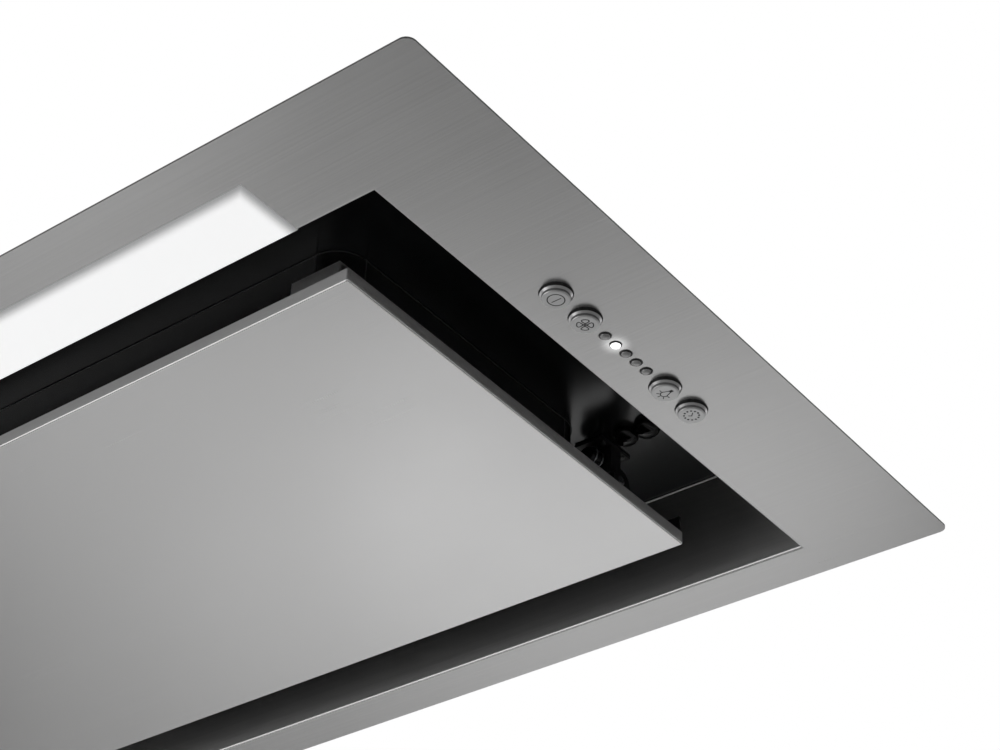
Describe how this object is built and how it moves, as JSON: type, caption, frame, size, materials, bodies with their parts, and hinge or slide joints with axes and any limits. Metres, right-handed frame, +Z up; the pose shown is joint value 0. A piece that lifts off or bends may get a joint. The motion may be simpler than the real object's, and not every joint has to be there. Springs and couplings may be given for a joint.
{
  "type": "ceiling range hood",
  "caption": "Flush ceiling range hood with a perimeter suction panel that swings down, a lamp strip, push buttons, grease filters and a blower box with a duct outlet.",
  "frame": {"origin": "centre of the visible frame on the ceiling plane, which is the upper face of the flange", "axes": "+Z up, +X along the long side towards the push buttons, -Y towards the lamp side"},
  "size_m": [0.9, 0.5, 0.3278],
  "materials": {
    "frame_steel": "brushed stainless steel",
    "panel_steel": "brushed stainless steel",
    "black_paint": "glossy black paint",
    "zinc_sheet": "zinc-coated sheet",
    "bracket_steel": "plain grey steel",
    "fastener_steel": "bright zinc",
    "filter_metal": "bright aluminium",
    "black_plastic": "black moulded plastic",
    "grey_plastic": "silver-grey moulded plastic",
    "button_metal": "satin silver metal",
    "board_green": "circuit board",
    "chip_yellow": "light emitter",
    "opal": "opal diffuser",
    "lens": "frosted lens",
    "foam": "pale foam",
    "black_rubber": "black rubber",
    "wheel_plastic": "dark grey moulded plastic",
    "motor_metal": "cast motor can",
    "panel_fill": "grey filling board"
  },
  "bodies": {
    "hood": {"trim_frame": "frame_steel", "seam_gasket": "foam", "seam_bolts": "fastener_steel", "seam_nuts": "fastener_steel", "intake_plate": "black_paint", "filter_collar": "black_paint", "magnet_catches": "black_plastic", "hinge_brackets": "black_plastic", "lamp_diffuser": "opal", "lamp_housing": "zinc_sheet", "lamp_board": "board_green", "lamp_chips": "chip_yellow", "lamp_driver": "black_plastic", "control_carrier": "black_plastic", "indicator_lenses": "lens", "control_board": "board_green", "control_cover": "black_plastic", "stud_nuts": "fastener_steel", "casing_shell": "zinc_sheet", "casing_end_right": "zinc_sheet", "casing_end_left": "zinc_sheet", "hanger_brackets": "zinc_sheet", "scroll_wall": "zinc_sheet", "scroll_bottom": "zinc_sheet", "scroll_top": "zinc_sheet", "motor_body": "motor_metal", "blower_posts": "fastener_steel", "duct_spigot": "black_plastic", "flap_pin": "fastener_steel", "terminal_box": "black_plastic", "terminal_cover": "black_plastic", "cable_gland": "black_plastic", "terminal_block": "grey_plastic", "motor_capacitor": "grey_plastic", "cable_grommets": "black_rubber", "outer_screws": "fastener_steel", "inner_screws": "fastener_steel", "filter_frame_left": "filter_metal", "filter_mesh_left": "filter_metal", "filter_core_left": "filter_metal", "filter_frame_right": "filter_metal", "filter_mesh_right": "filter_metal", "filter_core_right": "filter_metal"},
    "panel": {"panel_skin": "panel_steel", "panel_core": "panel_fill", "panel_backing": "zinc_sheet", "catch_brackets": "bracket_steel", "hinge_arms": "bracket_steel", "hinge_pins": "fastener_steel"},
    "power_button": {"button_power": "button_metal"},
    "fan_button": {"button_fan": "button_metal"},
    "light_button": {"button_light": "button_metal"},
    "timer_button": {"button_timer": "button_metal"},
    "blower_wheel": {"impeller": "wheel_plastic", "motor_shaft": "fastener_steel"},
    "back_flap": {"flap_back": "black_plastic"},
    "front_flap": {"flap_front": "black_plastic"},
    "left_latch": {"filter_latch_left": "black_plastic"},
    "right_latch": {"filter_latch_right": "black_plastic"}
  },
  "joints": [
    {"name": "panel_hinge", "type": "hinge", "parent": "hood", "child": "panel", "pos_m": [0, 0.156, 0.046], "axis": [1, 0, 0], "range_deg": [0, 90]},
    {"name": "blower_spin", "type": "hinge", "parent": "hood", "child": "blower_wheel", "pos_m": [-0.11, -0.008, 0.18], "axis": [0, 0, 1], "continuous": true},
    {"name": "back_flap_swing", "type": "hinge", "parent": "hood", "child": "back_flap", "pos_m": [-0.3847, 0.103, 0.184], "axis": [0, 0, 1], "range_deg": [0, 75], "stiffness_Nm_per_rad": 0.003},
    {"name": "front_flap_swing", "type": "hinge", "parent": "hood", "child": "front_flap", "pos_m": [-0.3847, 0.103, 0.184], "axis": [0, 0, -1], "range_deg": [0, 75], "stiffness_Nm_per_rad": 0.003},
    {"name": "power_press", "type": "slide", "parent": "hood", "child": "power_button", "axis": [0, 0, 1], "range_m": [0, 0.0012], "stiffness_N_per_m": 800},
    {"name": "fan_press", "type": "slide", "parent": "hood", "child": "fan_button", "axis": [0, 0, 1], "range_m": [0, 0.0012], "stiffness_N_per_m": 800},
    {"name": "light_press", "type": "slide", "parent": "hood", "child": "light_button", "axis": [0, 0, 1], "range_m": [0, 0.0012], "stiffness_N_per_m": 800},
    {"name": "timer_press", "type": "slide", "parent": "hood", "child": "timer_button", "axis": [0, 0, 1], "range_m": [0, 0.0012], "stiffness_N_per_m": 800},
    {"name": "left_latch_slide", "type": "slide", "parent": "hood", "child": "left_latch", "axis": [0, -1, 0], "range_m": [0, 0.007], "stiffness_N_per_m": 300},
    {"name": "right_latch_slide", "type": "slide", "parent": "hood", "child": "right_latch", "axis": [0, -1, 0], "range_m": [0, 0.007], "stiffness_N_per_m": 300}
  ]
}
